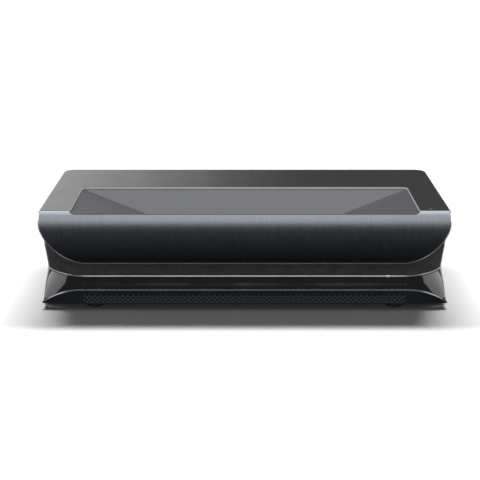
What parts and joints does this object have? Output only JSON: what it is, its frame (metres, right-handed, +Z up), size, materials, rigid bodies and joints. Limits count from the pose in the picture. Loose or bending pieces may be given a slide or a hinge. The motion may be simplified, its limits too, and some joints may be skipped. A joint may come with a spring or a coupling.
{
  "type": "ultra short throw projector",
  "caption": "Low, wide home projector with a recessed light well in its top deck, a curved brushed front fascia, a glossy waist with a thin accent line and a perforated front skirt.",
  "frame": {"origin": "middle of the footprint, on the plane the feet stand on", "axes": "+X to the right seen from the front, +Y to the rear and the screen wall, +Z up"},
  "size_m": [0.6, 0.347, 0.147],
  "materials": {
    "deck_satin": "satin charcoal, fine texture",
    "fascia_brushed": "vertically brushed, blue-black anodised",
    "gloss_black": "high gloss black",
    "accent_champagne": "champagne anodised, satin",
    "status_white": "translucent white light pipe",
    "skirt_metal": "satin blue-black, perforated",
    "well_matte": "dark grey, low sheen",
    "window_glass": "clear coated glass",
    "matte_black": "black, fine texture",
    "pan_steel": "black powder coat",
    "rubber_black": "black, soft",
    "screw_steel": "bright zinc",
    "raw_aluminium": "mill finish",
    "cast_alloy": "die cast, matt",
    "copper": "bright copper, heat pipe",
    "board_green": "green solder mask",
    "port_shell": "nickel plated",
    "port_black": "black moulding",
    "mirror_coat": "aspheric mirror coating",
    "lens_glass": "coated optical glass",
    "wheel_glass": "ground diffuser glass",
    "cone_paper": "pulp cone, black",
    "fan_plastic": "black moulding"
  },
  "bodies": {
    "housing": {"ac_inlet": "port_black", "accent_strip": "accent_champagne", "audio_jack": "port_black", "base_pan": "pan_steel", "button_board": "board_green", "chassis_frame": "raw_aluminium", "curved_mirror": "mirror_coat", "diffuser_motor": "screw_steel", "engine_housing": "cast_alloy", "exhaust_fan_frame": "fan_plastic", "focus_motor": "screw_steel", "foot_rear_left": "rubber_black", "foot_rear_right": "rubber_black", "front_fascia": "fascia_brushed", "front_skirt": "skirt_metal", "hdmi_port_1": "port_shell", "hdmi_port_2": "port_shell", "hdmi_port_3": "port_shell", "heat_pipe_1": "copper", "heat_pipe_2": "copper", "imager_board": "board_green", "imager_heatsink": "raw_aluminium", "intake_fan_frame": "fan_plastic", "lan_port": "port_shell", "laser_heatsink": "raw_aluminium", "laser_module": "cast_alloy", "lens_barrel": "matte_black", "lens_window": "window_glass", "light_well": "well_matte", "lower_cowl": "gloss_black", "main_board": "board_green", "mirror_bracket": "matte_black", "optical_audio_port": "port_black", "port_plate": "matte_black", "power_supply": "board_green", "rear_panel": "matte_black", "side_grille_left": "matte_black", "side_grille_right": "matte_black", "speaker_box_left": "matte_black", "speaker_box_right": "matte_black", "speaker_driver_left": "screw_steel", "speaker_driver_right": "screw_steel", "status_light": "status_white", "top_cover": "deck_satin", "upper_cowl": "gloss_black", "usb_port_stack": "port_shell", "window_bezel": "gloss_black"},
    "foot_pad_left": {"foot_pad_left": "rubber_black"},
    "foot_screw_left": {"foot_screw_left": "matte_black"},
    "foot_pad_right": {"foot_pad_right": "rubber_black"},
    "foot_screw_right": {"foot_screw_right": "matte_black"},
    "power_button": {"power_button": "deck_satin"},
    "intake_fan_rotor": {"intake_fan_rotor": "fan_plastic"},
    "exhaust_fan_rotor": {"exhaust_fan_rotor": "fan_plastic"},
    "diffuser_wheel": {"diffuser_wheel": "wheel_glass"},
    "focus_cell": {"focus_cell": "matte_black", "focus_lens": "lens_glass"},
    "focus_screw": {"focus_screw": "screw_steel"},
    "speaker_cone_left": {"speaker_cone_left": "cone_paper"},
    "speaker_cone_right": {"speaker_cone_right": "cone_paper"}
  },
  "joints": [
    {"name": "foot_left_lift", "type": "slide", "parent": "housing", "child": "foot_pad_left", "axis": [0, 0, 1], "range_m": [-0.008, 0]},
    {"name": "foot_left_turn", "type": "hinge", "parent": "foot_pad_left", "child": "foot_screw_left", "pos_m": [-0.2216, -0.14, 0], "axis": [0, 0, 1], "range_deg": [-1921, 0]},
    {"name": "foot_right_lift", "type": "slide", "parent": "housing", "child": "foot_pad_right", "axis": [0, 0, 1], "range_m": [-0.008, 0]},
    {"name": "foot_right_turn", "type": "hinge", "parent": "foot_pad_right", "child": "foot_screw_right", "pos_m": [0.2216, -0.14, 0], "axis": [0, 0, 1], "range_deg": [-1921, 0]},
    {"name": "power_button_press", "type": "slide", "parent": "housing", "child": "power_button", "axis": [0, 0, -1], "range_m": [0, 0.001], "stiffness_N_per_m": 900, "springref_m": -0.0006},
    {"name": "intake_fan_spin", "type": "hinge", "parent": "housing", "child": "intake_fan_rotor", "pos_m": [-0.2805, 0.045, 0.055], "axis": [1, 0, 0], "continuous": true},
    {"name": "exhaust_fan_spin", "type": "hinge", "parent": "housing", "child": "exhaust_fan_rotor", "pos_m": [0.2805, 0.045, 0.055], "axis": [1, 0, 0], "continuous": true},
    {"name": "diffuser_wheel_spin", "type": "hinge", "parent": "housing", "child": "diffuser_wheel", "pos_m": [-0.086, 0.06, 0.052], "axis": [1, 0, 0], "continuous": true},
    {"name": "focus_travel", "type": "slide", "parent": "housing", "child": "focus_cell", "axis": [0, -1, 0], "range_m": [-0.0015, 0.0015]},
    {"name": "focus_screw_turn", "type": "hinge", "parent": "housing", "child": "focus_screw", "pos_m": [0.04, 0.012, 0.056], "axis": [0, -1, 0], "range_deg": [-1082, 1082]},
    {"name": "speaker_left_travel", "type": "slide", "parent": "housing", "child": "speaker_cone_left", "axis": [0, 0, 1], "range_m": [-0.0015, 0.0015], "stiffness_N_per_m": 1500},
    {"name": "speaker_right_travel", "type": "slide", "parent": "housing", "child": "speaker_cone_right", "axis": [0, 0, 1], "range_m": [-0.0015, 0.0015], "stiffness_N_per_m": 1500}
  ],
  "couplings": [
    {"joint": "foot_left_turn", "follows": "foot_left_lift", "rad_per_m": 4188.8},
    {"joint": "foot_right_turn", "follows": "foot_right_lift", "rad_per_m": 4188.8},
    {"joint": "focus_screw_turn", "follows": "focus_travel", "rad_per_m": 12566}
  ]
}
